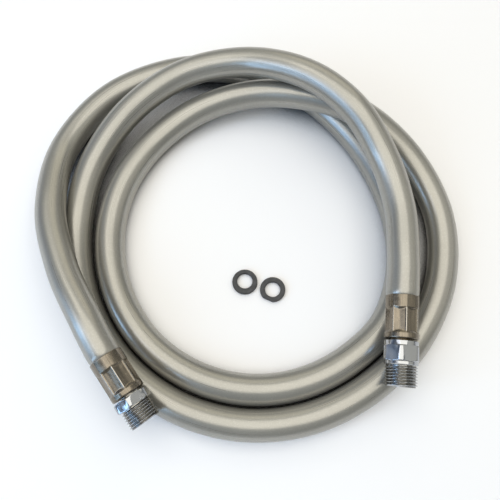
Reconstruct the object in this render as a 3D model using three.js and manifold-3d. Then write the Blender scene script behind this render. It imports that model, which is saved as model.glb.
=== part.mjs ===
// Shower hose of smooth grey PVC, laid on the floor in a loose coil.
// A crimped ferrule holds a threaded fitting in each end of the hose. One fitting is turned in one piece,
// the other is a swivel, so that the hose isn't twisted when the second end is screwed up.
// The two flat washers that seal the threads lie loose inside the coil.
// Units are millimetres, +Z is up and the floor is at Z = 0.

import * as THREE from "three";
import { mergeVertices } from "three/addons/utils/BufferGeometryUtils.js";
import Module from "manifold-3d";

const wasm = await Module();
wasm.setup();

// Hose
const hoseOutside = 21.5;
const hoseBore = 13;
const hoseSides = 12;
const boreSides = 8;
const hoseSteps = 80;

// Gap between pieces that touch or run on each other
const clearance = 0.3;

// Ferrule: a deep-drawn sleeve that is pressed onto the hose by eight jaws
const ferruleOutside = 22.4;
const ferruleWall = 0.8;
const ferruleLength = 28.4;
const ferruleEdge = 0.6; // rounding of its two rims
const mouthBand = 7.8; // lightly pressed band at the hose side
const mouthPress = 0.3; // the jaws' depth there, as a share of their depth at the pads
const endBand = 3.6; // unpressed band at the fitting side
const jawCount = 8;
const jawSlope = 0.7; // a jaw's ends rise this much per length
const padAcross = 20; // across two opposite pads
const ridgeAcross = 22; // across two opposite ridges between pads
const ridgeHalfAngle = 4.5; // degrees, half the width of a ridge at its foot

// Pipe thread G 1/2, drawn here as its outside cylinder
const threadOutside = 20.955;
const threadRoot = 18.631;
const threadChamfer = 0.9;
const threadRelief = 1.2;

// Hexagons
const hexAcrossFlats = 22;
const hexRound = 24.2; // across the rounded corners of the hexagon bar
const hexChamfer = 0.8;

// What both fittings share
const waterway = 8;
const tailLength = 23;
const tailPlain = 3; // the part of the tail that has no barbs
const barbCount = 5;
const barbDepth = 0.6;
const shoulderThickness = 1;
const neckDiameter = 14;
const edgeBreak = 0.6; // chamfer of the spigot and of the barbed tail's tip
const visibleGap = 1; // dark gap between a ferrule and its hexagon
const turnedSides = 32;

// Fixed fitting at the left end
const fixedHexLength = 6.6;
const fixedThreadLength = 11.4;

// Swivel fitting at the right end
const swivelCollarLength = 3;
const swivelHexLength = 10.2;
const swivelRimLength = 2.2;
const swivelRimDiameter = 21.6;
const swivelThreadLength = 13.7;
const socketDepth = 13.4; // depth of the bore that turns on the stem
const ringWire = 1.4; // retaining ring
const ringSetback = 2.4; // from the body's rear face to the middle of the ring
const ringOpening = 3;
const oRingSection = 1.5;
const oRingGrooveDiameter = 10.2;
const oRingSetbacks = [7.2, 3.4]; // from the spigot's end to the middle of each ring

// Flat washers
const washerOutside = 18.6;
const washerHole = 11.4;
const washerThickness = 3;
const washerEdge = 0.4;
const washerHoleShift = 0.6; // the first one was punched off centre
const washerFlat = 0.8; // the second one lost this much of its rim
const washerFlatTurn = -25; // degrees, from -Y to the middle of that flat

// Places on the floor. Clock angles are seen from above: 0 is +Y, 90 is +X.
const coilCentre = new THREE.Vector2(-1.2, -14.8);
// A fitting droops by so many degrees below the horizontal.
const fixedEnd = { x: -73.9, y: -106.6, heading: 145, droop: 7, ridgeTurn: -9, hexTurn: 4 };
const swivelEnd = { x: 101.9, y: -72.2, heading: 185.3, droop: 4, ridgeTurn: 0, hexTurn: 16 };
const washerPlaces = [[-0.7, -25], [19.8, -30.8]];

// Route of the hose round the coil's centre, from the fixed fitting to the swivel fitting.
// Each stop is [clock angle, distance from the coil's centre, lift above the floor].
const firstRise = [
  [240, 120.2, 28], [260, 127.5, 24], [280, 143.5, 16], [300, 162, 3.5], [320, 168.5, 0.3], [340, 163, 0],
];
const innerLap = [
  [0, 152, 0], [20, 138.5, 0], [40, 126, 0], [60, 118, 0], [80, 115, 0], [100, 114.5, 0],
  [120, 114, 0], [140, 109, 0], [160, 105.5, 0], [180, 102.5, 0], [200, 100, 0], [220, 98.5, 0],
  [240, 98, 0], [260, 99, 0], [280, 102, 0], [300, 106.5, 0.2], [320, 112, 0.5], [340, 117.5, 5],
];
const outerLap = [
  [0, 121, 12.5], [20, 123.5, 20], [40, 131, 21.5], [60, 141.5, 9], [80, 146.5, 1], [100, 143.5, 0],
  [120, 137.5, 0], [140, 132, 0], [160, 128.5, 0], [180, 125.5, 0], [200, 123, 0], [220, 121.3, 0],
  [240, 121, 0], [260, 123, 0], [280, 127.5, 0.3], [300, 134.5, 4.5], [320, 139, 14], [340, 141, 23.5],
];
const lastDrop = [
  [0, 136.5, 33], [20, 127, 42.5], [40, 118.5, 43.2], [60, 112.8, 33.5], [80, 109.2, 28.5], [99, 108.4, 28],
];

// Sizes that follow from the ones above
const degrees = Math.PI / 180;
const hexCorner = hexAcrossFlats / Math.cos(Math.PI / 6);
const spigotEnd = visibleGap + socketDepth - clearance;
const ferruleInside = ferruleOutside - 2 * ferruleWall;
const shoulderDiameter = ferruleInside - 2 * clearance;
const lipHole = neckDiameter + 2 * clearance;
const shoulderFront = -ferruleWall - clearance;
const shoulderBack = shoulderFront - shoulderThickness;
const hoseEnd = shoulderBack - clearance;
const tailDiameter = hoseBore - 2 * clearance;
const socketDiameter = neckDiameter + 2 * clearance;
const pressStart = -ferruleLength + mouthBand;
const pressEnd = -endBand;
const jawRun = (ferruleOutside - padAcross) / 2 / jawSlope;
const fixedHeight = hoseOutside + ferruleOutside / 2 + clearance;
const swivelHexEnd = visibleGap + swivelCollarLength + swivelHexLength;
const swivelDip = swivelHexEnd * Math.sin(swivelEnd.droop * degrees);
const swivelHeight = hoseOutside + hexRound / 2 + clearance + swivelDip;

// Materials
const pvc = new THREE.MeshStandardMaterial({ color: "#b3ab98", roughness: 0.38, metalness: 0.25 });
const nickel = new THREE.MeshStandardMaterial({ color: "#a8957c", roughness: 0.22, metalness: 1 });
const chrome = new THREE.MeshStandardMaterial({ color: "#c9ccd0", roughness: 0.12, metalness: 1 });
const brass = new THREE.MeshStandardMaterial({ color: "#b8995a", roughness: 0.3, metalness: 1 });
const steel = new THREE.MeshStandardMaterial({ color: "#9a9ca0", roughness: 0.35, metalness: 1 });
const rubber = new THREE.MeshStandardMaterial({ color: "#3d3e3f", roughness: 0.75, metalness: 0 });

function toSolid(geometry) {
  const bare = geometry.clone();
  for (const name of Object.keys(bare.attributes)) if (name !== "position") bare.deleteAttribute(name);
  const merged = mergeVertices(bare, 1e-4);
  return new wasm.Manifold(new wasm.Mesh({
    numProp: 3,
    vertProperties: new Float32Array(merged.attributes.position.array),
    triVerts: new Uint32Array(merged.index.array),
  }));
}

function toGeometry(solid) {
  const mesh = solid.getMesh();
  const geometry = new THREE.BufferGeometry();
  geometry.setAttribute("position", new THREE.BufferAttribute(mesh.vertProperties, 3));
  geometry.setIndex(new THREE.BufferAttribute(mesh.triVerts, 1));
  return geometry;
}

// Turns a closed outline of [diameter, station] points about the fitting's own axis, +Z.
function turned(outline, sides = turnedSides) {
  const points = outline.map(([diameter, station]) => new THREE.Vector2(diameter / 2, station));
  if (THREE.ShapeUtils.area(points) < 0) points.reverse();
  points.push(points[0].clone());
  return new THREE.LatheGeometry(points, sides).rotateX(Math.PI / 2);
}

function hexPrism(from, to, turn) {
  const corners = [...Array(6).keys()].map((corner) => {
    const angle = (corner * 60 + turn) * degrees;
    return new THREE.Vector2(Math.cos(angle), Math.sin(angle)).multiplyScalar(hexCorner / 2);
  });
  const prism = new THREE.ExtrudeGeometry(new THREE.Shape(corners), { depth: to - from, bevelEnabled: false });
  return prism.translate(0, 0, from);
}

// A hexagon with rounded corners, chamfered at both ends as a spanner hexagon is turned.
function hexSolid(from, to, turn) {
  const blank = toSolid(turned([
    [0, from], [hexAcrossFlats, from], [hexRound, from + hexChamfer],
    [hexRound, to - hexChamfer], [hexAcrossFlats, to], [0, to],
  ], 48));
  return blank.intersect(toSolid(hexPrism(from, to, turn)));
}

// Outline of the barbed tail, from its tip to the shoulder.
function tailOutline() {
  const root = tailDiameter - 2 * barbDepth;
  const pitch = (tailLength - tailPlain) / barbCount;
  const tip = shoulderBack - tailLength;
  const points = [[waterway, tip], [root - edgeBreak, tip]];
  for (let barb = 0; barb < barbCount; barb += 1) {
    const start = tip + edgeBreak + barb * pitch;
    points.push([root, start], [tailDiameter, start + pitch - 0.5], [root, start + pitch - 0.3]);
  }
  return [...points, [root, shoulderBack]];
}

const shoulderOutline = [
  [shoulderDiameter, shoulderBack], [shoulderDiameter, shoulderFront], [neckDiameter, shoulderFront],
];

// Outside of a male thread that starts behind its relief groove and ends in a chamfer.
function threadOutline(from, length) {
  return [
    [threadRoot, from], [threadRoot, from + threadRelief / 2], [threadOutside, from + threadRelief],
    [threadOutside, from + length - threadChamfer], [threadOutside - 2 * threadChamfer, from + length],
  ];
}

// The sleeve's distance from its axis once the jaws have closed, at an angle from a ridge.
function pressedRadius(angle) {
  const sector = 360 / jawCount;
  const fromRidge = Math.abs(((angle + sector / 2) % sector + sector) % sector - sector / 2);
  if (fromRidge < ridgeHalfAngle / 2) return ridgeAcross / 2;
  return padAcross / 2 / Math.cos((sector / 2 - fromRidge) * degrees);
}

// How far the jaws move the sleeve inward, at an angle from a ridge and a station along it.
function pressDepth(angle, station) {
  const full = ferruleOutside / 2 - pressedRadius(angle);
  const light = station < pressStart + jawRun ? mouthPress * full : 0;
  const rise = jawSlope * Math.max(0, Math.min(station - pressStart, pressEnd - station));
  return Math.max(light, Math.min(full, rise));
}

// The ferrule is a drawn sleeve with an inward lip. The jaws move both of its skins alike.
function ferruleGeometry(ridgeTurn) {
  const outside = ferruleOutside / 2;
  const inside = ferruleInside / 2;
  const mouth = -ferruleLength;
  const pressed = [
    ...[mouthPress, 0.6, 1].map((share) => pressStart + share * jawRun),
    ...[1, 0.6, 0].map((share) => pressEnd - share * jawRun),
  ];
  const loop = [
    [outside - ferruleEdge / 3, mouth], [outside, mouth + ferruleEdge],
    ...pressed.map((station) => [outside, station]),
    [outside, -2 * ferruleEdge], [outside - ferruleEdge / 2, -ferruleEdge / 2],
    [outside - 2 * ferruleEdge, 0], [lipHole / 2, 0], [lipHole / 2, -ferruleWall],
    [inside, -ferruleWall],
    ...pressed.map((station) => [inside, station]).reverse(),
    [inside, mouth],
  ];
  const sector = 360 / jawCount;
  const angles = [];
  for (let jaw = 0; jaw < jawCount; jaw += 1) {
    for (const step of [0, ridgeHalfAngle, sector / 4, sector / 2, sector * 3 / 4, sector - ridgeHalfAngle]) {
      angles.push(jaw * sector + step);
    }
  }
  const vertices = [];
  for (const [radius, station] of loop) {
    for (const angle of angles) {
      const depth = pressDepth(angle, station);
      const turn = (angle + ridgeTurn) * degrees;
      vertices.push((radius - depth) * Math.cos(turn), (radius - depth) * Math.sin(turn), station);
    }
  }
  const faces = [];
  const columns = angles.length;
  for (let row = 0; row < loop.length; row += 1) {
    for (let column = 0; column < columns; column += 1) {
      const nextRow = ((row + 1) % loop.length) * columns;
      const nextColumn = (column + 1) % columns;
      const corner = row * columns + column;
      faces.push(corner, row * columns + nextColumn, nextRow + nextColumn);
      faces.push(corner, nextRow + nextColumn, nextRow + column);
    }
  }
  const geometry = new THREE.BufferGeometry();
  geometry.setAttribute("position", new THREE.Float32BufferAttribute(vertices, 3));
  geometry.setIndex(faces);
  return geometry;
}

function fixedFittingGeometry(hexTurn) {
  const hexStart = visibleGap;
  const hexEnd = hexStart + fixedHexLength;
  const threadEnd = hexEnd + threadRelief + fixedThreadLength;
  const stem = toSolid(turned([
    ...tailOutline(), ...shoulderOutline, [neckDiameter, hexEnd - 1], [threadRoot, hexEnd - 1],
    ...threadOutline(hexEnd, threadEnd - hexEnd), [waterway, threadEnd],
  ]));
  const bore = toSolid(turned([[0, 0], [waterway, 0], [waterway, hexEnd + 1], [0, hexEnd + 1]]));
  return toGeometry(hexSolid(hexStart, hexEnd, hexTurn).subtract(bore).add(stem));
}

// The stem stays with the hose: its spigot carries the O-rings and half of the retaining ring.
function swivelStemGeometry() {
  const outline = [...tailOutline(), ...shoulderOutline];
  const ringRoot = socketDiameter - ringWire - 2 * clearance;
  addGroove(outline, visibleGap + ringSetback, ringWire + 2 * clearance, neckDiameter, ringRoot);
  for (const setback of oRingSetbacks) {
    addGroove(outline, spigotEnd - setback, oRingSection + 2 * clearance, neckDiameter, oRingGrooveDiameter);
  }
  outline.push([neckDiameter, spigotEnd - edgeBreak], [neckDiameter - 2 * edgeBreak, spigotEnd]);
  outline.push([waterway, spigotEnd]);
  return turned(outline);
}

function addGroove(outline, middle, width, surface, root) {
  outline.push(
    [surface, middle - width / 2], [root, middle - width / 2],
    [root, middle + width / 2], [surface, middle + width / 2],
  );
}

function swivelBodyGeometry() {
  const rear = visibleGap;
  const hexStart = rear + swivelCollarLength;
  const hexEnd = swivelHexEnd;
  const rimEnd = hexEnd + swivelRimLength;
  const socketEnd = rear + socketDepth;
  const end = rimEnd + swivelThreadLength;
  const ringSeat = socketDiameter + ringWire + 2 * clearance;
  const outline = [
    [hexAcrossFlats - 0.8, rear], [hexAcrossFlats, rear + 0.4], [hexAcrossFlats, hexStart],
    [threadOutside, hexStart + 1], [threadOutside, hexEnd - 1],
    [swivelRimDiameter, hexEnd], [swivelRimDiameter, rimEnd - 0.5], [threadRoot, rimEnd],
    ...threadOutline(rimEnd, swivelThreadLength),
    [waterway, end], [waterway, socketEnd], [socketDiameter, socketEnd],
  ];
  addGroove(outline, rear + ringSetback, -(ringWire + 2 * clearance), socketDiameter, ringSeat);
  outline.push([socketDiameter, rear + 0.5], [socketDiameter + 1, rear]);
  const core = toSolid(turned([[0, hexStart], [threadRoot, hexStart], [threadRoot, hexEnd], [0, hexEnd]]));
  const hexRing = hexSolid(hexStart, hexEnd, swivelEnd.hexTurn).subtract(core);
  return toGeometry(hexRing.add(toSolid(turned(outline))));
}

function ringGeometry(diameter, section, station) {
  return new THREE.TorusGeometry(diameter / 2, section / 2, 6, turnedSides).translate(0, 0, station);
}

// A round wire ring, open on one side so that it can be sprung in.
function retainingRingGeometry() {
  const station = visibleGap + ringSetback;
  const opening = new THREE.BoxGeometry(socketDiameter, ringOpening, 2 * ringWire);
  opening.translate(socketDiameter / 2, 0, station);
  return toGeometry(toSolid(ringGeometry(socketDiameter, ringWire, station)).subtract(toSolid(opening)));
}

function washerGeometry(holeShift, flat) {
  const top = washerThickness;
  const disc = toSolid(turned([
    [0, 0], [washerOutside - 2 * washerEdge, 0], [washerOutside, washerEdge],
    [washerOutside, top - washerEdge], [washerOutside - 2 * washerEdge, top], [0, top],
  ]));
  const hole = turned([
    [0, -1], [washerHole, -1], [washerHole, top + 1], [0, top + 1],
  ]).translate(0, holeShift, 0);
  let washer = disc.subtract(toSolid(hole));
  if (flat > 0) {
    const cutter = new THREE.BoxGeometry(washerOutside, washerOutside, top * 3);
    cutter.translate(0, -washerOutside + flat, 0).rotateZ(washerFlatTurn * degrees);
    washer = washer.subtract(toSolid(cutter));
  }
  return toGeometry(washer);
}

// A fitting's own frame: +Z points out of the hose, +X is up, and 0 is the ferrule's end face.
function fittingFrame(end, height) {
  const heading = end.heading * degrees;
  const droop = end.droop * degrees;
  const outward = new THREE.Vector3(Math.sin(heading), Math.cos(heading), -Math.tan(droop)).normalize();
  const side = outward.clone().cross(new THREE.Vector3(0, 0, 1)).normalize();
  const frame = new THREE.Matrix4().makeBasis(side.clone().cross(outward), side, outward);
  return frame.setPosition(end.x + coilCentre.x, end.y + coilCentre.y, height);
}

const fixedFrame = fittingFrame(fixedEnd, fixedHeight);
const swivelFrame = fittingFrame(swivelEnd, swivelHeight);

function hoseRoute() {
  const stops = [...firstRise, ...innerLap, ...outerLap, ...lastDrop].map(([clock, distance, lift]) =>
    new THREE.Vector3(
      coilCentre.x + distance * Math.sin(clock * degrees),
      coilCentre.y + distance * Math.cos(clock * degrees),
      hoseOutside / 2 + lift,
    ));
  const inFitting = (frame) => [hoseEnd, -ferruleLength].map((station) =>
    new THREE.Vector3(0, 0, station).applyMatrix4(frame));
  return new THREE.CatmullRomCurve3(
    [...inFitting(fixedFrame), ...stops, ...inFitting(swivelFrame).reverse()], false, "catmullrom", 0.5,
  );
}

// What the ferrule squeezes off the hose: a sleeve from the hose's pressed skin outward.
function squeezeSolid(frame) {
  const mouth = -ferruleLength;
  const underEnd = ferruleInside - 2 * clearance;
  const underPads = padAcross - 2 * ferruleWall - 2 * clearance;
  const underMouth = underEnd - mouthPress * (underEnd - underPads);
  const start = pressStart - clearance;
  const end = pressEnd + clearance;
  const beyond = 1.5 * hoseOutside;
  return toSolid(turned([
    [beyond, mouth - clearance], [underMouth, mouth - clearance], [underMouth, start],
    [underPads, start + jawRun], [underPads, end - jawRun], [underEnd, end],
    [underEnd, 2 * clearance], [beyond, 2 * clearance],
  ]).applyMatrix4(frame));
}

function roundShape(diameter, sides) {
  const corners = [...Array(sides).keys()].map((corner) => {
    const angle = (corner + 0.5) * 2 * Math.PI / sides;
    return new THREE.Vector2(Math.cos(angle), Math.sin(angle)).multiplyScalar(diameter / 2);
  });
  return new THREE.Shape(corners);
}

function hoseGeometry() {
  const section = roundShape(hoseOutside, hoseSides);
  section.holes.push(roundShape(hoseBore / Math.cos(Math.PI / boreSides), boreSides));
  const tube = new THREE.ExtrudeGeometry(section, {
    steps: hoseSteps, bevelEnabled: false, extrudePath: hoseRoute(),
  });
  return toGeometry(toSolid(tube).subtract(squeezeSolid(fixedFrame)).subtract(squeezeSolid(swivelFrame)));
}

const hose = new THREE.Group();

function addPiece(parent, name, geometry, material) {
  const mesh = new THREE.Mesh(geometry, material);
  mesh.name = name;
  parent.add(mesh);
  return mesh;
}

function fittingGroup(frame) {
  const group = new THREE.Group();
  frame.decompose(group.position, group.quaternion, group.scale);
  hose.add(group);
  return group;
}

addPiece(hose, "hose_tube", hoseGeometry(), pvc);

const fixedSide = fittingGroup(fixedFrame);
addPiece(fixedSide, "fixed_ferrule", ferruleGeometry(fixedEnd.ridgeTurn), nickel);
addPiece(fixedSide, "fixed_fitting", fixedFittingGeometry(fixedEnd.hexTurn), chrome);

const swivelSide = fittingGroup(swivelFrame);
addPiece(swivelSide, "swivel_ferrule", ferruleGeometry(swivelEnd.ridgeTurn), nickel);
addPiece(swivelSide, "swivel_stem", swivelStemGeometry(), brass);
addPiece(swivelSide, "swivel_body", swivelBodyGeometry(), chrome);
addPiece(swivelSide, "retaining_ring", retainingRingGeometry(), steel);
oRingSetbacks.forEach((setback, number) => {
  const middle = (oRingGrooveDiameter + socketDiameter) / 2;
  const ring = ringGeometry(middle, oRingSection, spigotEnd - setback);
  addPiece(swivelSide, `o_ring_${number + 1}`, ring, rubber);
});

washerPlaces.forEach(([x, y], number) => {
  const geometry = number === 0 ? washerGeometry(washerHoleShift, 0) : washerGeometry(0, washerFlat);
  const washer = addPiece(hose, `flat_washer_${number + 1}`, geometry, rubber);
  washer.position.set(coilCentre.x + x, coilCentre.y + y, 0);
});

export default hose;
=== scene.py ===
# %% [markdown]
# # A coiled shower hose
# This lesson dresses a measured model of a shower hose: a smooth grey PVC hose in a loose coil, two crimped
# metal ferrules, a fixed threaded fitting, a swivel fitting and two loose rubber washers. The measured solids
# fix every size and place. What they leave out is made here: the smooth skin of the hose, the pressed sheet
# metal, the helical pipe threads, and the look of each material.

import math

import bpy
from mathutils import Matrix, Vector


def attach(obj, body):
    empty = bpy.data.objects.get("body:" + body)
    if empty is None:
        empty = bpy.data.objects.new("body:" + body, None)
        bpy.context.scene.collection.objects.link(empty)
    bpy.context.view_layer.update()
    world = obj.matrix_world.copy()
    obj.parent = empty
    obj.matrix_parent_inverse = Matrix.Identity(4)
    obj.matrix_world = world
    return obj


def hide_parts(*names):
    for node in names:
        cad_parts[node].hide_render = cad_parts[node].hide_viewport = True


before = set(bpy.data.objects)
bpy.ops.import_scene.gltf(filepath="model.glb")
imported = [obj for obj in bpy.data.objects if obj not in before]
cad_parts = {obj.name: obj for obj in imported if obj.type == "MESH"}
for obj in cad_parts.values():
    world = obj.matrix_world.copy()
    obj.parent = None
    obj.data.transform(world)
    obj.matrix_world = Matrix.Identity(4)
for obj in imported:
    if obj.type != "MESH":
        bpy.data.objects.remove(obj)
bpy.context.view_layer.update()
mm = 0.001
print("nodes:", ", ".join(sorted(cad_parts)))

# %% [markdown]
# The camera stands where the photographer did: a little in front of the coil and almost straight above it.
# The lens is fairly short, because the front of the coil looks clearly bigger than the back.

# %% Camera
coil_centre = Vector((-1.2, -14.8)) * mm
eye = Vector((1.9, -136.2, 375)) * mm
tilt = math.radians(18)  # away from straight down

camera_data = bpy.data.cameras.new("camera")
camera_data.sensor_width = 36
camera_data.lens = 37.4
camera = bpy.data.objects.new("camera", camera_data)
camera.location = eye
camera.rotation_euler = (tilt, 0, 0)
bpy.context.scene.collection.objects.link(camera)
bpy.context.scene.camera = camera
print("camera", round(eye.length / mm), "mm from the origin")

# %% [markdown]
# The hose and its two ends share a few sizes. They are the driving sizes of the measured model, written in
# millimetres and turned to metres by mm, because Blender works in metres.

# %% Shared sizes
hose_outside = 21.5 * mm
hose_end = 2.4 * mm  # how far behind a ferrule's end face the hose is cut off
clearance = 0.3 * mm
ferrule_outside = 22.4 * mm
ferrule_length = 28.4 * mm
neck_diameter = 14 * mm
hex_round = 24.2 * mm  # across the rounded corners of the hexagon bar
visible_gap = 1 * mm
swivel_collar_length = 3 * mm
swivel_hex_length = 10.2 * mm
print(f"hose {hose_outside / mm:.1f} mm thick, in ferrules {ferrule_outside / mm:.1f} mm across")

# %% [markdown]
# Each fitting gets axes of its own, so that its rings can be written as if it stood upright at the origin.
# Both fittings lie on another lap of the hose and droop a little toward the floor.

# %% Places of the two fittings
fixed_droop = math.radians(7)
swivel_droop = math.radians(4)


def fitting_frame(x, y, heading, droop, height):
    """A fitting's own axes: +Z points out of the hose, +X is up, 0 is the ferrule's end face."""
    angle = math.radians(heading)
    outward = Vector((math.sin(angle), math.cos(angle), -math.tan(droop))).normalized()
    side = outward.cross(Vector((0, 0, 1))).normalized()
    axes = Matrix((side.cross(outward), side, outward)).transposed().to_4x4()
    return Matrix.Translation((coil_centre.x + x * mm, coil_centre.y + y * mm, height)) @ axes


fixed_height = hose_outside + ferrule_outside / 2 + clearance
swivel_reach = visible_gap + swivel_collar_length + swivel_hex_length
swivel_dip = swivel_reach * math.sin(swivel_droop)  # how much lower the hexagon's far end lies
swivel_height = hose_outside + hex_round / 2 + clearance + swivel_dip
fixed_frame = fitting_frame(x=-73.9, y=-106.6, heading=145, droop=fixed_droop, height=fixed_height)
swivel_frame = fitting_frame(x=101.9, y=-72.2, heading=185.3, droop=swivel_droop, height=swivel_height)
print(f"ferrules' ends {fixed_height / mm:.1f} and {swivel_height / mm:.1f} mm above the floor")

# %% [markdown]
# The hose is one piece of stiff plastic tube, so its shape is a route. It starts in the left fitting, climbs
# over its own second lap, drops to the floor, goes round twice and ends on top of itself in the right
# fitting. Each stop of the route is a clock angle in degrees, a distance from the coil's centre and a lift
# above the floor, both in millimetres.

# %% Stops of the route
first_rise = [
    (240, 120.2, 28), (260, 127.5, 24), (280, 143.5, 16), (300, 162, 3.5), (320, 168.5, 0.3), (340, 163, 0),
]
inner_lap = [
    (0, 152, 0), (20, 138.5, 0), (40, 126, 0), (60, 118, 0), (80, 115, 0), (100, 114.5, 0),
    (120, 114, 0), (140, 109, 0), (160, 105.5, 0), (180, 102.5, 0), (200, 100, 0), (220, 98.5, 0),
    (240, 98, 0), (260, 99, 0), (280, 102, 0), (300, 106.5, 0.2), (320, 112, 0.5), (340, 117.5, 5),
]
outer_lap = [
    (0, 121, 12.5), (20, 123.5, 20), (40, 131, 21.5), (60, 141.5, 9), (80, 146.5, 1), (100, 143.5, 0),
    (120, 137.5, 0), (140, 132, 0), (160, 128.5, 0), (180, 125.5, 0), (200, 123, 0), (220, 121.3, 0),
    (240, 121, 0), (260, 123, 0), (280, 127.5, 0.3), (300, 134.5, 4.5), (320, 139, 14), (340, 141, 23.5),
]
last_drop = [
    (0, 136.5, 33), (20, 127, 42.5), (40, 118.5, 43.2), (60, 112.8, 33.5), (80, 109.2, 28.5), (99, 108.4, 28),
]


def route_stop(clock, distance, lift):
    angle = math.radians(clock)
    x = coil_centre.x + distance * mm * math.sin(angle)
    y = coil_centre.y + distance * mm * math.cos(angle)
    return Vector((x, y, hose_outside / 2 + lift * mm))


stops = [route_stop(*stop) for stop in first_rise + inner_lap + outer_lap + last_drop]
print("route of", len(stops), "stops")

# %% [markdown]
# A smooth curve runs through all the stops, with a straight piece inside each ferrule. One of Blender's own
# curves could follow them too. The route is worked out here instead, because the skin of the hose needs its
# points, and how far along the hose each one lies.

# %% Smooth route
def straight_end(end_frame):
    return [end_frame @ Vector((0, 0, -behind)) for behind in (hose_end, ferrule_length)]


def smooth_route(stops, steps=16):
    """A Catmull-Rom curve through the stops, the same that the measured hose follows."""
    padded = [2 * stops[0] - stops[1], *stops, 2 * stops[-1] - stops[-2]]
    route = []
    for before, start, end, after in zip(padded, padded[1:], padded[2:], padded[3:]):
        for step in range(steps):
            t = step / steps
            route.append(0.5 * (
                2 * start + (end - before) * t
                + (2 * before - 5 * start + 4 * end - after) * t * t
                + (3 * start - before - 3 * end + after) * t * t * t
            ))
    return [*route, stops[-1]]


route = smooth_route([*straight_end(fixed_frame), *stops, *reversed(straight_end(swivel_frame))])
distances = [0.0]
for near, far in zip(route, route[1:]):
    distances.append(distances[-1] + (far - near).length)
hose_length = distances[-1]
print(f"hose {hose_length:.3f} m long in {len(route)} points")

# %% [markdown]
# Every turned or pressed piece here is a skin of rings, each with the same number of points, joined ring to
# ring. A closed skin goes on from its last ring to its first one, and an open one gets a cap at each end.
# One helper builds them all. It also stores how far round and how far along each face lies, because a drawn
# or turned surface has its marks in those two directions.

# %% Helper that joins rings into a skin
def ring_skin(name, rings, place=Matrix.Identity(4), closed=True, sharp_degrees=30):
    count = len(rings[0])
    rows = len(rings) if closed else len(rings) - 1
    faces = []
    for row in range(rows):
        here, there = row * count, (row + 1) % len(rings) * count
        for column in range(count):
            side = (column + 1) % count
            faces.append((here + column, here + side, there + side, there + column))
    if not closed:
        faces.append(tuple(reversed(range(count))))
        faces.append(tuple(range((len(rings) - 1) * count, len(rings) * count)))
    mesh = bpy.data.meshes.new(name)
    mesh.from_pydata([place @ Vector(point) for ring in rings for point in ring], [], faces)
    layer = mesh.uv_layers.new(name="along_and_round")
    for face in mesh.polygons:
        row, column = divmod(face.index, count)
        for corner, loop in enumerate(face.loop_indices):
            across = column + (corner in (1, 2))
            along = row + (corner in (2, 3))
            layer.data[loop].uv = (across / count, along / rows)
    mesh.shade_smooth()
    mesh.set_sharp_from_angle(angle=math.radians(sharp_degrees))
    piece = bpy.data.objects.new(name, mesh)
    bpy.context.scene.collection.objects.link(piece)
    print(f"{name}: {len(mesh.polygons)} faces")
    return piece


# %% [markdown]
# A hose could be a curve with a round bevel, but the crimped ends are squeezed thinner, so it is a skin of
# rings carried along the route. Each ring's sideways direction is passed on from the ring before it, which
# keeps the skin from twisting. Where it enters a ferrule, the hose swells a little and is then pressed in.

# %% Hose
hose_sides = 56
under_ferrule = 19 * mm  # the hose's diameter where the jaws squeeze it
lead_in = 1.2 * mm  # just inside the mouth, where the sleeve is hardly pressed
lead_in_squeeze = 0.45 * mm
mouth_squeeze = 0.35 * mm
squeeze_reach = 2.2 * mm
swell = 0.12 * mm
swell_place = 5 * mm
swell_spread = 4 * mm


def hose_radius(distance):
    past_mouth = min(distance, hose_length - distance) - (ferrule_length - hose_end)
    if past_mouth < -lead_in:
        return under_ferrule / 2
    if past_mouth <= 0:
        return hose_outside / 2 - lead_in_squeeze
    swollen = swell * math.exp(-((past_mouth - swell_place) / swell_spread) ** 2)
    squeezed = mouth_squeeze * max(0.0, 1 - past_mouth / squeeze_reach) ** 2
    return hose_outside / 2 + swollen - squeezed


rings = []
sideways = Vector((0, 0, 1))
for index, centre in enumerate(route):
    ahead = route[min(index + 1, len(route) - 1)] - route[max(index - 1, 0)]
    ahead.normalize()
    sideways = (sideways - ahead * sideways.dot(ahead)).normalized()
    across = ahead.cross(sideways)
    radius = hose_radius(distances[index])
    ring = []
    for side in range(hose_sides):
        angle = math.tau * side / hose_sides
        ring.append(centre + radius * (math.cos(angle) * sideways + math.sin(angle) * across))
    rings.append(ring)

hose = ring_skin("hose_skin", rings, closed=False)
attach(hose, "hose")
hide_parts("hose_tube")

# %% [markdown]
# A ferrule is a deep-drawn sleeve. Eight jaws press it onto the hose and leave eight flat pads with a narrow
# ridge of metal between each two. The jaws stop short of the sleeve's end, and press the band at its mouth
# only lightly. Both skins of the sheet move in by the same amount, so one function gives the depth of the
# press, and the outside and the inside share it.

# %% Press of the jaws
mouth_band = 7.8 * mm
mouth_press = 0.3  # the share of the full depth that reaches the band at the mouth
mouth_fade = 3 * mm
end_band = 3.6 * mm
jaw_count = 8
jaw_slope = 0.7
pad_across = 20 * mm
ridge_across = 22 * mm
ridge_half_angle = 4.5  # degrees
pad_dish = 0.15 * mm  # the jaws are slightly crowned, so the pads are slightly hollow


def smooth_step(low, high, value):
    share = min(1.0, max(0.0, (value - low) / (high - low)))
    return share * share * (3 - 2 * share)


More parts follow.
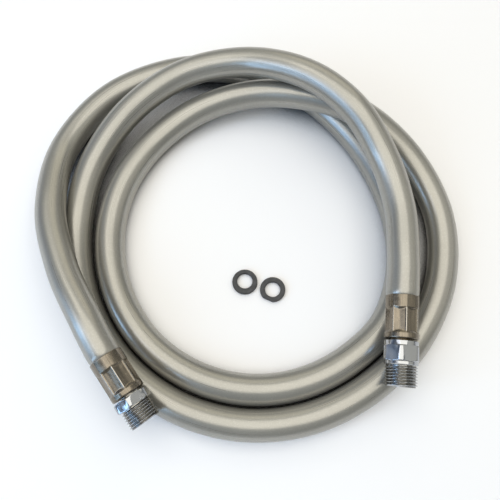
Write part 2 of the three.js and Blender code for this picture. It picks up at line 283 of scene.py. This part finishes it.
def press_depth(angle, station):
    """How far the jaws moved the sleeve inward, at an angle from a ridge and a station from its end."""
    sector = 360 / jaw_count
    from_ridge = abs((angle + sector / 2) % sector - sector / 2)
    pad = pad_across / 2 / math.cos(math.radians(sector / 2 - from_ridge))
    pressed = ridge_across / 2 + (pad - ridge_across / 2) * smooth_step(0, ridge_half_angle, from_ridge)
    full = ferrule_outside / 2 - pressed + pad_dish * smooth_step(ridge_half_angle, sector / 2, from_ridge)
    from_mouth = station + ferrule_length - mouth_band
    light = mouth_press * full * smooth_step(mouth_fade, 0, from_mouth)
    rise = jaw_slope * max(0.0, min(from_mouth, -end_band - station))
    return max(light, min(full, rise))


pad_depth = press_depth(180 / jaw_count, -ferrule_length / 2)
print(f"the jaws go {pad_depth / mm:.2f} mm deep in the middle of a pad")

# %% [markdown]
# The profile of the sheet goes round its rolled edge at the mouth, along the outside, over the rounded end,
# down the lip that holds the neck and back along the inside. Turned round the axis it is the whole sleeve.
# The points of each ring are closest together beside the ridges, where the sheet bends most.

# %% Ferrules
ferrule_wall = 0.8 * mm
ferrule_rounding = 1 * mm
ferrule_rows = 60
jaw_steps = (0, 1.1, 2.2, 3.3, 4.5, 6, 9, 14, 18, 22.5, 27, 31, 36, 39, 40.5, 41.7, 42.8, 43.9)  # degrees


def make_ferrule(name, node, place, ridge_turn):
    outside, inside = ferrule_outside / 2, ferrule_outside / 2 - ferrule_wall
    edge = ferrule_wall / 2
    mouth = -ferrule_length
    stations = [
        mouth + edge + row * (ferrule_length - 2 * edge) / ferrule_rows for row in range(ferrule_rows + 1)
    ]
    profile = [(inside, mouth + edge)]
    profile += [
        (outside - edge - edge * math.cos(turn), mouth + edge - edge * math.sin(turn))
        for turn in (math.pi * step / 8 for step in range(1, 8))
    ]
    profile += [(outside, station) for station in stations if station < -ferrule_rounding]
    profile += [
        (outside - ferrule_rounding * (1 - math.cos(turn)), -ferrule_rounding * (1 - math.sin(turn)))
        for turn in (math.pi / 2 * step / 6 for step in range(7))
    ]
    lip = neck_diameter / 2 + clearance
    profile += [(lip, 0), (lip, -ferrule_wall), (inside, -ferrule_wall)]
    profile += [(inside, station) for station in reversed(stations[::3]) if station < -ferrule_wall]
    angles = [jaw * 360 / jaw_count + step for jaw in range(jaw_count) for step in jaw_steps]
    rings = []
    for radius, station in profile:
        ring = []
        for angle in angles:
            turn = math.radians(angle + ridge_turn)
            pressed = radius - (press_depth(angle, station) if radius > lip else 0)
            ring.append((pressed * math.cos(turn), pressed * math.sin(turn), station))
        rings.append(ring)
    ferrule = ring_skin(name, rings, place, sharp_degrees=50)
    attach(ferrule, "hose")
    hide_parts(node)
    return ferrule


fixed_sleeve = make_ferrule("fixed_sleeve", "fixed_ferrule", fixed_frame, ridge_turn=-9)
swivel_sleeve = make_ferrule("swivel_sleeve", "swivel_ferrule", swivel_frame, ridge_turn=0)

# %% [markdown]
# Both fittings are turned from hexagon bar. Their outside is worked out as a distance from the axis that
# depends on the angle and on the station: a flat of the hexagon, cut back by the cone of its chamfer, or the
# flank of the thread. A G 1/2 pipe thread has 14 threads to the inch and rounded crests and roots. The crest
# climbs by one pitch in each turn, so its station shifts evenly with the angle.

# %% Helpers for turned fittings
thread_outside = 20.955 * mm
thread_root = 18.631 * mm
thread_pitch = 25.4 * mm / 14
thread_chamfer = 0.9 * mm
thread_relief = 1.2 * mm  # the plain groove before the thread
hex_across_flats = 22 * mm
hex_chamfer = 0.8 * mm
waterway = 8 * mm
bore_chamfer = 0.3 * mm


def thread_radius(angle, station, start, end):
    climb = station / thread_pitch - angle / math.tau
    wave = 0.5 + 0.5 * math.cos(math.tau * climb)
    radius = (thread_root + (thread_outside - thread_root) * wave) / 2
    full = smooth_step(start + 0.2 * thread_relief, start + thread_relief, station)
    radius = thread_root / 2 + (radius - thread_root / 2) * full
    return min(radius, thread_outside / 2 - thread_chamfer + (end - station))


def hex_radius(angle, station, start, end, turn):
    """Distance to the hexagon's flat, with rounded corners and a chamfer cone at each end."""
    sector = math.pi / 3
    from_flat = (angle - math.radians(turn)) % sector - sector / 2
    flat = hex_across_flats / 2 / math.cos(from_flat)
    inward = min(station - start, end - station)
    cone = hex_across_flats / 2 + inward * (hex_round - hex_across_flats) / 2 / hex_chamfer
    return min(flat, hex_round / 2, cone)


def hex_angles(turn):
    """Angles all round, closer together at the six corners so that the edges stay crisp."""
    steps = (0, 0.8, 1.6, 3, 6, 10, 15, 20, 25, 30, 35, 40, 45, 50, 54, 57, 58.4, 59.2)
    return [math.radians(corner * 60 + step + turn) for corner in range(6) for step in steps]


def even_steps(low, high, count):
    return [low + (high - low) * step / count for step in range(count + 1)]


def turned_rings(angles, stations, radius_at):
    return [
        [(radius_at(a, s) * math.cos(a), radius_at(a, s) * math.sin(a), s) for a in angles]
        for s in stations
    ]


def plain_rings(angles, *profile):
    """One round ring for each radius and station of the profile."""
    return [
        [(radius * math.cos(a), radius * math.sin(a), station) for a in angles]
        for radius, station in profile
    ]


def hex_rings(angles, start, end, turn):
    chamfer = [hex_chamfer * share for share in (0, 0.3, 0.6, 0.85, 1)]
    stations = [start + inward for inward in chamfer] + [end - inward for inward in reversed(chamfer)]
    return turned_rings(angles, stations, lambda a, s: hex_radius(a, s, start, end, turn))


def thread_rings(angles, start, end, rows):
    return turned_rings(angles, even_steps(start, end, rows), lambda a, s: thread_radius(a, s, start, end))


print(f"thread pitch {thread_pitch / mm:.3f} mm, depth {(thread_outside - thread_root) / 2 / mm:.2f} mm")

# %% [markdown]
# The fixed fitting is short: a thin hexagon and the thread behind it. Its barbed tail is inside the hose, so
# here it is only a plain stub that keeps the fitting one closed piece.

# %% Fixed fitting
fixed_hex_length = 6.6 * mm
fixed_thread_length = 11.4 * mm
fixed_hex_turn = 4  # degrees
tail_length = 22 * mm
tail_stub = 11.2 * mm
shoulder = 20.2 * mm
shoulder_back = 2.1 * mm
shoulder_front = 1.1 * mm

hex_start = visible_gap
hex_end = hex_start + fixed_hex_length
thread_end = hex_end + thread_relief + fixed_thread_length
angles = hex_angles(fixed_hex_turn)
rings = [
    *plain_rings(
        angles, (waterway / 2, -tail_length), (tail_stub / 2, -tail_length), (tail_stub / 2, -shoulder_back),
        (shoulder / 2, -shoulder_back), (shoulder / 2, -shoulder_front), (neck_diameter / 2, -shoulder_front),
        (neck_diameter / 2, hex_start),
    ),
    *hex_rings(angles, hex_start, hex_end, fixed_hex_turn),
    *thread_rings(angles, hex_end, thread_end, rows=120),
    *plain_rings(
        angles, (waterway / 2 + bore_chamfer, thread_end), (waterway / 2, thread_end - bore_chamfer),
    ),
]
fixed_body = ring_skin("fixed_thread_fitting", rings, fixed_frame)
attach(fixed_body, "hose")
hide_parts("fixed_fitting")

# %% [markdown]
# The swivel body turns on the stem that is crimped into the hose. It is longer, because its socket holds two
# O-rings: a round collar, a hexagon, a round rim and then the thread. Inside, the socket has a groove for the
# wire ring that keeps the body on the stem.

# %% Swivel body
collar_edge = 0.4 * mm
swivel_rim_length = 2.2 * mm
swivel_rim_diameter = 21.6 * mm
rim_step = 0.1 * mm
swivel_thread_length = 13.7 * mm
swivel_hex_turn = 16  # degrees
socket_diameter = neck_diameter + 2 * clearance
socket_depth = 13.4 * mm
socket_chamfer = 0.5 * mm
ring_wire = 1.4 * mm
ring_setback = 2.4 * mm

rear = visible_gap
hex_start = rear + swivel_collar_length
hex_end = hex_start + swivel_hex_length
rim_end = hex_end + swivel_rim_length
thread_end = rim_end + swivel_thread_length
groove = ring_wire / 2 + clearance  # how far it reaches round the wire, to each side and outward
groove_middle = rear + ring_setback
flats, rim, socket = hex_across_flats / 2, swivel_rim_diameter / 2, socket_diameter / 2
angles = hex_angles(swivel_hex_turn)
rings = [
    *plain_rings(angles, (flats - collar_edge, rear), (flats, rear + collar_edge)),
    *hex_rings(angles, hex_start, hex_end, swivel_hex_turn),
    *plain_rings(
        angles, (rim, hex_end + rim_step), (rim, rim_end - collar_edge), (rim - collar_edge, rim_end),
    ),
    *thread_rings(angles, rim_end, thread_end, rows=130),
    *plain_rings(
        angles, (waterway / 2 + bore_chamfer, thread_end), (waterway / 2, thread_end - bore_chamfer),
        (waterway / 2, rear + socket_depth), (socket, rear + socket_depth),
        (socket, groove_middle + groove), (socket + groove, groove_middle + groove),
        (socket + groove, groove_middle - groove), (socket, groove_middle - groove),
        (socket, rear + socket_chamfer), (socket + socket_chamfer, rear),
    ),
]
swivel_body = ring_skin("swivel_thread_body", rings, swivel_frame)
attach(swivel_body, "swivel")
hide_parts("swivel_body")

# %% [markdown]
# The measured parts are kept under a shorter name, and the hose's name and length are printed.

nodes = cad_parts
print(f"declared {hose.name}, {hose_length:.3f} m")

# %% [markdown]
# The washers are punched or moulded from black rubber. A flat ring with sharp edges would look like a cut
# disc, so their four edges are rounded, each as a quarter circle. Neither is perfect: the first has its hole
# off centre, the second has lost a sliver of its rim.

# %% Flat washers
washer_outside = 18.6 * mm
washer_hole = 11.4 * mm
washer_thickness = 3 * mm
washer_edge = 0.5 * mm
washer_sides = 120
lost_side = math.radians(245)  # where the sliver is missing


def make_washer(name, node, x, y, hole_shift, sliver):
    angles = [math.tau * side / washer_sides for side in range(washer_sides)]
    rings = []
    corners = [(True, False, -90), (True, True, 0), (False, True, 90), (False, False, 180)]
    for outer, upper, turn in corners:
        for step in range(5):
            round_angle = math.radians(turn + 90 * step / 4)
            ring = []
            for angle in angles:
                if outer:
                    rim = washer_outside / 2
                    away = math.cos(angle - lost_side)
                    if sliver and away > 0:
                        rim = min(rim, (washer_outside / 2 - sliver) / away)
                    radius, shift = rim - washer_edge, 0
                else:
                    radius, shift = washer_hole / 2 + washer_edge, hole_shift
                height = washer_thickness - washer_edge if upper else washer_edge
                radius += washer_edge * math.cos(round_angle)
                height += washer_edge * math.sin(round_angle)
                ring.append((radius * math.cos(angle), radius * math.sin(angle) + shift, height))
            rings.append(ring)
    place = Matrix.Translation((coil_centre.x + x * mm, coil_centre.y + y * mm, 0))
    washer = ring_skin(name, rings, place, sharp_degrees=60)
    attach(washer, "hose")
    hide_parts(node)
    return washer


washers = [
    make_washer("rubber_washer_1", "flat_washer_1", x=-0.7, y=-25, hole_shift=0.6 * mm, sliver=0),
    make_washer("rubber_washer_2", "flat_washer_2", x=19.8, y=-30.8, hole_shift=0, sliver=0.8 * mm),
]

# %% [markdown]
# Colours are written as they look on a screen, in sRGB hex. The renderer works in linear light, so one
# function converts them. Roughness and masks are plain numbers and stay as they are written. A small function
# adds a node, sets it up and links it, and where it is a colour ramp, it also sets the stops.

# %% Colour and node helpers
def colour(hex_code):
    channels = [int(hex_code[start:start + 2], 16) / 255 for start in (1, 3, 5)]
    linear = [c / 12.92 if c <= 0.04045 else ((c + 0.055) / 1.055) ** 2.4 for c in channels]
    return (*linear, 1.0)


def grey(value):
    return (value, value, value, 1.0)


def add(tree, kind, inputs=None, stops=(), **settings):
    node = tree.nodes.new(kind)
    for name, value in settings.items():
        setattr(node, name, value)
    for name, value in (inputs or {}).items():
        if isinstance(value, bpy.types.NodeSocket):
            tree.links.new(value, node.inputs[name])
        else:
            node.inputs[name].default_value = value
    for index, (position, tint) in enumerate(stops):
        node.color_ramp.elements[index].position = position
        node.color_ramp.elements[index].color = tint
    return node


def new_material(name, viewport):
    material = bpy.data.materials.new(name)
    material.use_nodes = True
    material.diffuse_color = colour(viewport)
    material.node_tree.nodes.clear()
    return material, material.node_tree


def give(material, *pieces):
    for piece in pieces:
        piece.data.materials.clear()
        piece.data.materials.append(material)


print("middle grey #808080 is", round(colour("#808080")[0], 3), "in linear light")

# %% [markdown]
# The hose is soft PVC filled with aluminium flake, extruded through a smooth die. The flake lies flat in the
# skin, so the plastic has a broad metallic sheen, while the skin itself is glossy but never mirror-sharp.
# The die leaves faint lines along the hose, 1.1 mm wide, and the flake clouds a little. Real flake is far
# below 0.1 mm and too fine to show, so its specks are drawn 0.9 mm wide.

# %% PVC with aluminium flake
def flake_pvc():
    material, tree = new_material("flake_filled_pvc", "#b9b7b0")
    uv = add(tree, "ShaderNodeUVMap", uv_map="along_and_round").outputs["UV"]
    place = add(tree, "ShaderNodeTexCoord").outputs["Object"]
    clouds = add(tree, "ShaderNodeTexNoise", {"Vector": place, "Scale": 1 / (45 * mm), "Detail": 2.0})
    flake = add(tree, "ShaderNodeTexNoise", {"Vector": place, "Scale": 1 / (0.9 * mm), "Detail": 1.0})
    line_scale = (math.pi * hose_outside / (1.126 * mm), hose_length / (73 * mm), 1)
    drawn_out = add(tree, "ShaderNodeMapping", {"Vector": uv, "Scale": line_scale}).outputs["Vector"]
    lines = add(tree, "ShaderNodeTexNoise", {"Vector": drawn_out, "Scale": 1.0, "Detail": 2.0}).outputs["Fac"]
    cloudy = add(tree, "ShaderNodeValToRGB", {"Fac": clouds.outputs["Fac"]},
                 stops=[(0.3, colour("#9d9b94")), (0.7, colour("#a5a39c"))])
    specks = add(tree, "ShaderNodeValToRGB", {"Fac": flake.outputs["Fac"]},
                 stops=[(0.5, grey(0)), (0.75, grey(0.3))])
    speckled = add(tree, "ShaderNodeMix", {
        "Factor": specks.outputs["Color"], "A": cloudy.outputs["Color"], "B": colour("#bfbdb8"),
    }, data_type="RGBA")
    rough = add(tree, "ShaderNodeValToRGB", {"Fac": lines}, stops=[(0.3, grey(0.27)), (0.7, grey(0.31))])
    bump = add(tree, "ShaderNodeBump", {"Height": lines, "Strength": 0.02, "Distance": 0.1 * mm})
    shader = add(tree, "ShaderNodeBsdfPrincipled", {
        "Base Color": speckled.outputs["Result"], "Metallic": 0.65, "Roughness": rough.outputs["Color"],
        "IOR": 1.54, "Specular IOR Level": 0.4, "Normal": bump.outputs["Normal"],
    })
    add(tree, "ShaderNodeOutputMaterial", {"Surface": shader.outputs["BSDF"]})
    return material


give(flake_pvc(), hose)
print("hose material:", hose.data.materials[0].name)

# %% [markdown]
# The ferrules are thin steel sleeves with a plain nickel plate. Nickel is warmer and darker than chrome. The
# jaws leave the pads dull, with fine scores along the sleeve. The ridges between the pads are painted
# lighter, a painted highlight that shows them as bright lines. The real scores are hair-thin, and are drawn
# 0.6 mm wide to show.
# The ridge mask comes from the way round and along that the skin stores: eight ridges to a turn, and only in
# the rows that the jaws press.

# %% Nickel plated sleeve
sleeve_row = (ferrule_length - ferrule_wall) / ferrule_rows
sleeve_row_count = len(fixed_sleeve.data.polygons) // (jaw_count * len(jaw_steps))
pads_middle = 0.435  # of the rows round the profile of the sheet, and so is the next value
pads_half = 0.17


def nickel_plate():
    material, tree = new_material("nickel_plated_steel", "#9a9286")
    uv = add(tree, "ShaderNodeUVMap", uv_map="along_and_round").outputs["UV"]
    place = add(tree, "ShaderNodeTexCoord").outputs["Object"]
    patches = add(tree, "ShaderNodeTexNoise", {"Vector": place, "Scale": 1 / (3 * mm), "Detail": 3.0})
    rows_long = sleeve_row_count * sleeve_row
    score_scale = (math.pi * ferrule_outside / (0.586 * mm), rows_long / (11.15 * mm), 1)
    drawn_out = add(tree, "ShaderNodeMapping", {"Vector": uv, "Scale": score_scale}).outputs["Vector"]
    scores = add(tree, "ShaderNodeTexNoise", {
        "Vector": drawn_out, "Scale": 1.0, "Detail": 3.0,
    }).outputs["Fac"]
    way = add(tree, "ShaderNodeSeparateXYZ", {"Vector": uv}).outputs
    jaws = add(tree, "ShaderNodeMath", {0: way["X"], 1: float(jaw_count)}, operation="MULTIPLY").outputs[0]
    to_ridge = add(tree, "ShaderNodeMath", {0: jaws, 1: 0.5}, operation="PINGPONG").outputs[0]
    pads = add(tree, "ShaderNodeMath", {0: way["Y"], 1: pads_middle, 2: pads_half}, operation="COMPARE")
    ridge = add(tree, "ShaderNodeValToRGB", {"Fac": to_ridge}, stops=[(0.05, grey(1)), (0.12, grey(0))])
    ridge_painted_highlight = add(tree, "ShaderNodeMath", {0: ridge.outputs["Color"], 1: pads.outputs[0]},
                    operation="MULTIPLY")
    scored = add(tree, "ShaderNodeValToRGB", {"Fac": scores},
                 stops=[(0.3, colour("#736c62")), (0.7, colour("#8b8274"))])
    # Painted highlight: the ridges get the light colour #bbb5ab.
    tone = add(tree, "ShaderNodeMix", {
        "Factor": ridge_painted_highlight.outputs[0], "A": scored.outputs["Color"], "B": colour("#bbb5ab"),
    }, data_type="RGBA")
    rough = add(tree, "ShaderNodeValToRGB", {"Fac": patches.outputs["Fac"]},
                stops=[(0.3, grey(0.18)), (0.7, grey(0.32))])
    bump = add(tree, "ShaderNodeBump", {"Height": scores, "Strength": 0.12, "Distance": 0.1 * mm})
    shader = add(tree, "ShaderNodeBsdfPrincipled", {
        "Base Color": tone.outputs["Result"], "Metallic": 1.0, "Roughness": rough.outputs["Color"],
        "Normal": bump.outputs["Normal"],
    })
    add(tree, "ShaderNodeOutputMaterial", {"Surface": shader.outputs["BSDF"]})
    return material


give(nickel_plate(), fixed_sleeve, swivel_sleeve)
print("ferrule material:", fixed_sleeve.data.materials[0].name)

# %% [markdown]
# The hexagons and threads are brass, polished and then plated with bright chrome. It is nearly a mirror, and
# a flat mirror shows one single colour. What makes it look like metal is that the polishing wheel leaves the
# flats slightly wavy, 7 mm from wave to wave, so that what they mirror is drawn out and bent. Smudges of
# about 1.5 mm dull it a little. The roots of the thread get painted shade: ambient occlusion finds them, as
# the places with other metal close beside them, and the chrome's colour is painted darker there.

# %% Chrome plate
def chrome_plate():
    material, tree = new_material("chrome_plated_brass", "#c9ccd0")
    place = add(tree, "ShaderNodeTexCoord").outputs["Object"]
    smudges = add(tree, "ShaderNodeTexNoise", {"Vector": place, "Scale": 1 / (1.5 * mm), "Detail": 3.0})
    waves = add(tree, "ShaderNodeTexNoise", {"Vector": place, "Scale": 1 / (7 * mm), "Detail": 0.0})
    rough = add(tree, "ShaderNodeValToRGB", {"Fac": smudges.outputs["Fac"]},
                stops=[(0.3, grey(0.07)), (0.7, grey(0.15))])
    polish = add(tree, "ShaderNodeBump", {
        "Height": waves.outputs["Fac"], "Strength": 0.5, "Distance": 1 * mm,
    })
    bump = add(tree, "ShaderNodeBump", {
        "Height": smudges.outputs["Fac"], "Strength": 0.06, "Distance": 0.1 * mm,
        "Normal": polish.outputs["Normal"],
    })
    # Painted shade: the chrome's colour goes darker where ambient occlusion finds the thread's roots.
    root_shade_ao = add(tree, "ShaderNodeAmbientOcclusion", {"Distance": 1.5 * mm}, samples=8).outputs["AO"]
    tone = add(tree, "ShaderNodeValToRGB", {"Fac": root_shade_ao},
               stops=[(0.4, colour("#85827b")), (0.85, colour("#aeb0b3"))])
    shader = add(tree, "ShaderNodeBsdfPrincipled", {
        "Base Color": tone.outputs["Color"], "Metallic": 1.0, "Roughness": rough.outputs["Color"],
        "Normal": bump.outputs["Normal"],
    })
    add(tree, "ShaderNodeOutputMaterial", {"Surface": shader.outputs["BSDF"]})
    return material


give(chrome_plate(), fixed_body, swivel_body)
print("fitting material:", swivel_body.data.materials[0].name)

# %% [markdown]
# Inside the swivel are bare turned brass, a drawn steel ring and black rubber rings. The brass is coloured a
# dull dark brown with random patches, partly tarnish and partly painted shade, because only the neck of the
# stem shows, as a dark line in the narrow gap between ferrule and swivel. All parts are finished. The
# washers share the rubber: matt, with a trace of grey moulding dust. Its grain is finer than the 0.5 mm that
# is drawn here.

# %% Brass, spring steel and rubber
def turned_brass():
    material, tree = new_material("turned_brass", "#6a5f4c")
    place = add(tree, "ShaderNodeTexCoord").outputs["Object"]
    tarnish = add(tree, "ShaderNodeTexNoise", {"Vector": place, "Scale": 1 / (3 * mm), "Detail": 3.0})
    # Painted shade in part: both colours are dark, for the shade of the narrow gap where the neck shows.
    tone = add(tree, "ShaderNodeValToRGB", {"Fac": tarnish.outputs["Fac"]},
               stops=[(0.3, colour("#4c4438")), (0.7, colour("#6a5f4c"))])
    shader = add(tree, "ShaderNodeBsdfPrincipled", {
        "Base Color": tone.outputs["Color"], "Metallic": 1.0, "Roughness": 0.3,
    })
    add(tree, "ShaderNodeOutputMaterial", {"Surface": shader.outputs["BSDF"]})
    return material


def spring_steel():
    material, tree = new_material("drawn_spring_steel", "#9a9ca0")
    place = add(tree, "ShaderNodeTexCoord").outputs["Object"]
    drawn = add(tree, "ShaderNodeTexNoise", {"Vector": place, "Scale": 1 / (0.6 * mm), "Detail": 2.0})
    rough = add(tree, "ShaderNodeValToRGB", {"Fac": drawn.outputs["Fac"]},
                stops=[(0.3, grey(0.3)), (0.7, grey(0.45))])
    shader = add(tree, "ShaderNodeBsdfPrincipled", {
        "Base Color": colour("#9a9ca0"), "Metallic": 1.0, "Roughness": rough.outputs["Color"],
    })
    add(tree, "ShaderNodeOutputMaterial", {"Surface": shader.outputs["BSDF"]})
    return material


def black_rubber():
    material, tree = new_material("black_rubber", "#3d3e3f")
    place = add(tree, "ShaderNodeTexCoord").outputs["Object"]
    dust = add(tree, "ShaderNodeTexNoise", {"Vector": place, "Scale": 1 / (3 * mm), "Detail": 4.0})
    grain = add(tree, "ShaderNodeTexNoise", {"Vector": place, "Scale": 1 / (0.5 * mm), "Detail": 2.0})
    tone = add(tree, "ShaderNodeValToRGB", {"Fac": dust.outputs["Fac"]},
               stops=[(0.3, colour("#333334")), (0.7, colour("#4a4a4b"))])
    bump = add(tree, "ShaderNodeBump", {
        "Height": grain.outputs["Fac"], "Strength": 0.3, "Distance": 0.1 * mm,
    })
    shader = add(tree, "ShaderNodeBsdfPrincipled", {
        "Base Color": tone.outputs["Color"], "Roughness": 0.62, "Normal": bump.outputs["Normal"],
    })
    add(tree, "ShaderNodeOutputMaterial", {"Surface": shader.outputs["BSDF"]})
    return material


give(turned_brass(), nodes["swivel_stem"])
give(spring_steel(), nodes["retaining_ring"])
give(black_rubber(), nodes["o_ring_1"], nodes["o_ring_2"], *washers)
print("small parts finished")

# %% [markdown]
# The hose lies on a plain white floor. The floor is white to the camera and in reflections. To light that
# bounces it is darker, so that the undersides of the hose stay as dark as they should be. Between two laps
# that nearly touch, hardly any light gets down to a real floor. Ambient occlusion finds those gaps, as the
# places from which little open sky is seen, and the floor's colour is painted dark in them as painted shade.

# %% Floor
def pale_floor():
    material, tree = new_material("white_floor", "#f4f4f6")
    path = add(tree, "ShaderNodeLightPath").outputs
    seen = add(tree, "ShaderNodeMath", {0: path["Is Camera Ray"], 1: path["Is Glossy Ray"]}, operation="ADD")
    seen = add(tree, "ShaderNodeMath", {0: seen.outputs[0], 1: path["Is Transmission Ray"]},
               operation="ADD", use_clamp=True)
    open_sky = add(tree, "ShaderNodeAmbientOcclusion", {"Distance": 40 * mm}, samples=8).outputs["AO"]
    # Painted shade: the floor's colour goes dark where ambient occlusion finds the narrow gaps between laps.
    gap_painted_shade = add(tree, "ShaderNodeValToRGB", {"Fac": open_sky},
                stops=[(0.15, colour("#3c3b38")), (0.45, colour("#fafafc"))])
    white = add(tree, "ShaderNodeBsdfDiffuse", {"Color": gap_painted_shade.outputs["Color"]})
    bounce = add(tree, "ShaderNodeBsdfDiffuse", {"Color": colour("#a9a7a4")})
    shader = add(tree, "ShaderNodeMixShader", {
        "Fac": seen.outputs[0], 1: bounce.outputs["BSDF"], 2: white.outputs["BSDF"],
    })
    add(tree, "ShaderNodeOutputMaterial", {"Surface": shader.outputs["Shader"]})
    return material


floor_radius = 1.7
floor_drop = 0.2 * mm  # below the hose, so that the two never share a surface
floor_sides = 90
floor_mesh = bpy.data.meshes.new("floor")
floor_mesh.from_pydata(
    [
        (floor_radius * math.cos(angle), floor_radius * math.sin(angle), -floor_drop)
        for angle in even_steps(0, math.tau, floor_sides)[:-1]
    ],
    [], [tuple(range(floor_sides))],
)
floor = bpy.data.objects.new("floor", floor_mesh)
bpy.context.scene.collection.objects.link(floor)
give(pale_floor(), floor)
print("floor", 2 * floor_radius, "m wide")

# %% [markdown]
# Metal looks like what stands round it, so the lamps are a small studio. A wide soft panel hangs above, with
# two smaller ones to its left and behind it, and the walls on the right and at the back throw some warm
# light. A window with two panes stands on the left. It gives the cool light on every side that faces left,
# and the dark bar between its panes shows in the chrome. Every lamp points at the origin, under the coil.

# %% Lamps
def panel(name, place, width, height, watts, tint):
    data = bpy.data.lights.new(name, "AREA")
    data.shape = "RECTANGLE"
    data.size, data.size_y = width, height
    data.energy = watts
    data.color = colour(tint)[:3]
    lamp = bpy.data.objects.new(name, data)
    lamp.location = place
    lamp.rotation_euler = (Vector((0, 0, 0)) - lamp.location).to_track_quat("-Z", "Y").to_euler()
    bpy.context.scene.collection.objects.link(lamp)


panel("ceiling_panel", (0.06, 0.0, 1.2), 1.25, 1.28, 8.8, "#fffaef")
panel("ceiling_left", (-0.8, -0.2, 0.98), 0.45, 0.75, 1.9, "#f6f8ff")
panel("ceiling_back", (-0.5, 0.62, 0.95), 0.6, 0.6, 0.9, "#fff9ec")
panel("window_front_pane", (-0.93, -0.9, 0.6), 0.3, 0.95, 3.5, "#a4cffd")
panel("window_back_pane", (-1.15, -0.38, 0.6), 0.3, 0.95, 3.3, "#a4cffd")
panel("wall_right", (1.15, 0.15, 0.85), 1.0, 1.0, 1.1, "#fff9e8")
panel("wall_back", (0.3, 1.15, 0.9), 1.2, 0.8, 2.5, "#fff6dc")

# %% [markdown]
# The world is the rest of the room, and shows mostly in the metal. It gets paler from the walls up to the
# ceiling. On the window side hangs a dark blue curtain with a pale strip of wall under it. Low down on all
# sides it is nearly white, so that the floor seems to go on behind the hose. Each mask fades with the height
# or with the distance from the window's side.

# %% World
def soft_room():
    world = bpy.data.worlds.new("soft_room")
    world.use_nodes = True
    tree = world.node_tree
    direction = add(tree, "ShaderNodeTexCoord").outputs["Generated"]
    parts = add(tree, "ShaderNodeSeparateXYZ", {"Vector": direction}).outputs
    from_window = add(tree, "ShaderNodeMath", {0: parts["X"], 1: 1.0}, operation="ADD").outputs[0]
    room = add(tree, "ShaderNodeValToRGB", {"Fac": parts["Z"]},
               stops=[(0.0, colour("#767875")), (0.8, colour("#a8aaa8"))]).outputs["Color"]
    for reach, start, end, tint in [
        (from_window, 0.0, 0.4, "#4d5f80"),  # curtain
        (from_window, 0.05, 0.09, "#a2b0c4"),  # strip of wall under it
        (parts["Z"], 0.0, 0.25, "#e4e5e7"),  # far floor
    ]:
        mask = add(tree, "ShaderNodeValToRGB", {"Fac": reach}, stops=[(start, grey(1)), (end, grey(0))])
        room = add(tree, "ShaderNodeMix", {"Factor": mask.outputs["Color"], "A": room, "B": colour(tint)},
                   data_type="RGBA").outputs["Result"]
    tree.links.new(room, tree.nodes["Background"].inputs["Color"])
    return world


bpy.context.scene.world = soft_room()
bpy.context.scene.view_settings.view_transform = "Standard"
print("world:", bpy.context.scene.world.name)
